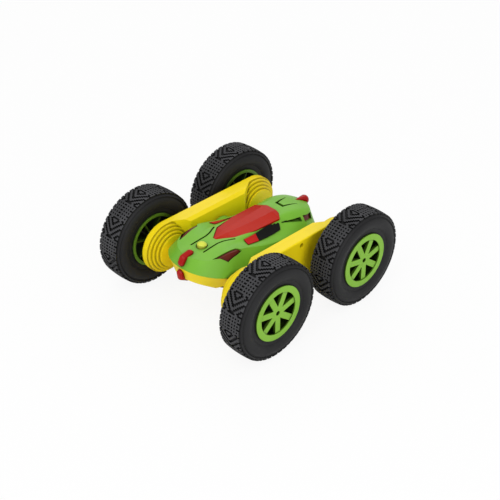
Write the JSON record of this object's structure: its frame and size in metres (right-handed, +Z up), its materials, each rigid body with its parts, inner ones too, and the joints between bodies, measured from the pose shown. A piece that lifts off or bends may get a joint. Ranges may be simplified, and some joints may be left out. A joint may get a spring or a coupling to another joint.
{
  "type": "toy stunt car",
  "caption": "Double-sided remote control stunt car: flat body between two turning side arms, each arm carrying two gear-driven wheels.",
  "frame": {"origin": "on the floor, under the middle of the box round the whole car", "axes": "+X forward to the nose, +Y to the car's left, +Z up"},
  "size_m": [0.154, 0.141, 0.07],
  "materials": {
    "green_shell": "moulded, glossy",
    "yellow_plastic": "moulded, satin gloss",
    "red_canopy": "moulded, glossy",
    "dome_light": "moulded, glossy",
    "red_lamp": "clear red moulding",
    "dark_lens": "dark red moulding",
    "black_tyre": "soft rubber, matte",
    "green_rim": "moulded, satin gloss",
    "steel": "plated",
    "motor_can": "bright metal",
    "battery_film": "shrink film",
    "board_green": "circuit board",
    "black_plastic": "moulded",
    "white_plastic": "moulded, self-lubricating"
  },
  "bodies": {
    "chassis": {"battery_door": "yellow_plastic", "battery_door_screw": "steel", "battery_pack": "battery_film", "board_components": "black_plastic", "canopy": "red_canopy", "circuit_board": "board_green", "headlight_lenses": "dark_lens", "hood_dome": "dome_light", "lower_shell": "yellow_plastic", "motor_frame": "black_plastic", "nose_lamp_lower": "red_lamp", "nose_lamp_upper": "red_lamp", "pivot_bushes": "white_plastic", "pivot_retainers": "white_plastic", "power_switch": "black_plastic", "rear_lamp": "red_lamp", "shell_screws": "steel", "tail_light_lenses": "dark_lens", "upper_shell": "green_shell", "left_motor": "motor_can", "right_motor": "motor_can"},
    "switch_knob": {"switch_knob": "black_plastic"},
    "left_drive_gear": {"left_drive_gear": "white_plastic"},
    "left_motor_pinion": {"left_motor_pinion": "white_plastic"},
    "left_arm": {"left_arm_inner_casing": "yellow_plastic", "left_arm_outer_casing": "yellow_plastic", "left_arm_idler_pins": "steel", "left_arm_casing_screws": "steel"},
    "left_hub_gear": {"left_arm_hub_gear": "white_plastic"},
    "left_idler_front": {"left_arm_idler_gear_front": "white_plastic"},
    "left_front_wheel": {"left_front_wheel_tyre": "black_tyre", "left_front_wheel_rim": "green_rim", "left_front_wheel_axle": "steel", "left_front_wheel_gear": "white_plastic", "left_front_wheel_screw": "steel"},
    "left_idler_rear": {"left_arm_idler_gear_rear": "white_plastic"},
    "left_rear_wheel": {"left_rear_wheel_tyre": "black_tyre", "left_rear_wheel_rim": "green_rim", "left_rear_wheel_axle": "steel", "left_rear_wheel_gear": "white_plastic", "left_rear_wheel_screw": "steel"},
    "right_drive_gear": {"right_drive_gear": "white_plastic"},
    "right_motor_pinion": {"right_motor_pinion": "white_plastic"},
    "right_arm": {"right_arm_inner_casing": "yellow_plastic", "right_arm_outer_casing": "yellow_plastic", "right_arm_idler_pins": "steel", "right_arm_casing_screws": "steel"},
    "right_hub_gear": {"right_arm_hub_gear": "white_plastic"},
    "right_idler_front": {"right_arm_idler_gear_front": "white_plastic"},
    "right_front_wheel": {"right_front_wheel_tyre": "black_tyre", "right_front_wheel_rim": "green_rim", "right_front_wheel_axle": "steel", "right_front_wheel_gear": "white_plastic", "right_front_wheel_screw": "steel"},
    "right_idler_rear": {"right_arm_idler_gear_rear": "white_plastic"},
    "right_rear_wheel": {"right_rear_wheel_tyre": "black_tyre", "right_rear_wheel_rim": "green_rim", "right_rear_wheel_axle": "steel", "right_rear_wheel_gear": "white_plastic", "right_rear_wheel_screw": "steel"}
  },
  "joints": [
    {"name": "left_arm_turn", "type": "hinge", "parent": "chassis", "child": "left_arm", "pos_m": [0, 0, 0.035], "axis": [0, 1, 0], "continuous": true},
    {"name": "left_drive_spin", "type": "hinge", "parent": "chassis", "child": "left_drive_gear", "pos_m": [0, 0, 0.035], "axis": [0, 1, 0], "continuous": true},
    {"name": "left_pinion_spin", "type": "hinge", "parent": "chassis", "child": "left_motor_pinion", "pos_m": [0.01182, 0, 0.03708], "axis": [0, 1, 0], "continuous": true},
    {"name": "left_front_wheel_spin", "type": "hinge", "parent": "left_arm", "child": "left_front_wheel", "pos_m": [0.042, 0, 0.035], "axis": [0, 1, 0], "continuous": true},
    {"name": "left_rear_wheel_spin", "type": "hinge", "parent": "left_arm", "child": "left_rear_wheel", "pos_m": [-0.042, 0, 0.035], "axis": [0, 1, 0], "continuous": true},
    {"name": "left_hub_gear_spin", "type": "hinge", "parent": "left_arm", "child": "left_hub_gear", "pos_m": [0, 0, 0.035], "axis": [0, 1, 0], "continuous": true},
    {"name": "left_front_idler_spin", "type": "hinge", "parent": "left_arm", "child": "left_idler_front", "pos_m": [0.021, 0, 0.035], "axis": [0, 1, 0], "continuous": true},
    {"name": "left_rear_idler_spin", "type": "hinge", "parent": "left_arm", "child": "left_idler_rear", "pos_m": [-0.021, 0, 0.035], "axis": [0, 1, 0], "continuous": true},
    {"name": "right_arm_turn", "type": "hinge", "parent": "chassis", "child": "right_arm", "pos_m": [0, 0, 0.035], "axis": [0, 1, 0], "continuous": true},
    {"name": "right_drive_spin", "type": "hinge", "parent": "chassis", "child": "right_drive_gear", "pos_m": [0, 0, 0.035], "axis": [0, 1, 0], "continuous": true},
    {"name": "right_pinion_spin", "type": "hinge", "parent": "chassis", "child": "right_motor_pinion", "pos_m": [-0.01182, 0, 0.03292], "axis": [0, 1, 0], "continuous": true},
    {"name": "right_front_wheel_spin", "type": "hinge", "parent": "right_arm", "child": "right_front_wheel", "pos_m": [0.042, 0, 0.035], "axis": [0, 1, 0], "continuous": true},
    {"name": "right_rear_wheel_spin", "type": "hinge", "parent": "right_arm", "child": "right_rear_wheel", "pos_m": [-0.042, 0, 0.035], "axis": [0, 1, 0], "continuous": true},
    {"name": "right_hub_gear_spin", "type": "hinge", "parent": "right_arm", "child": "right_hub_gear", "pos_m": [0, 0, 0.035], "axis": [0, 1, 0], "continuous": true},
    {"name": "right_front_idler_spin", "type": "hinge", "parent": "right_arm", "child": "right_idler_front", "pos_m": [0.021, 0, 0.035], "axis": [0, 1, 0], "continuous": true},
    {"name": "right_rear_idler_spin", "type": "hinge", "parent": "right_arm", "child": "right_idler_rear", "pos_m": [-0.021, 0, 0.035], "axis": [0, 1, 0], "continuous": true},
    {"name": "power_switch_slide", "type": "slide", "parent": "chassis", "child": "switch_knob", "axis": [0, 1, 0], "range_m": [0, 0.003]}
  ],
  "couplings": [
    {"joint": "left_pinion_spin", "follows": "left_drive_spin", "ratio": -2},
    {"joint": "left_rear_wheel_spin", "follows": "left_front_wheel_spin", "ratio": 1},
    {"joint": "left_hub_gear_spin", "follows": "left_front_wheel_spin", "ratio": 1},
    {"joint": "left_front_idler_spin", "follows": "left_front_wheel_spin", "ratio": -1.3333},
    {"joint": "left_rear_idler_spin", "follows": "left_front_wheel_spin", "ratio": -1.3333},
    {"joint": "right_pinion_spin", "follows": "right_drive_spin", "ratio": -2},
    {"joint": "right_rear_wheel_spin", "follows": "right_front_wheel_spin", "ratio": 1},
    {"joint": "right_hub_gear_spin", "follows": "right_front_wheel_spin", "ratio": 1},
    {"joint": "right_front_idler_spin", "follows": "right_front_wheel_spin", "ratio": -1.3333},
    {"joint": "right_rear_idler_spin", "follows": "right_front_wheel_spin", "ratio": -1.3333}
  ]
}
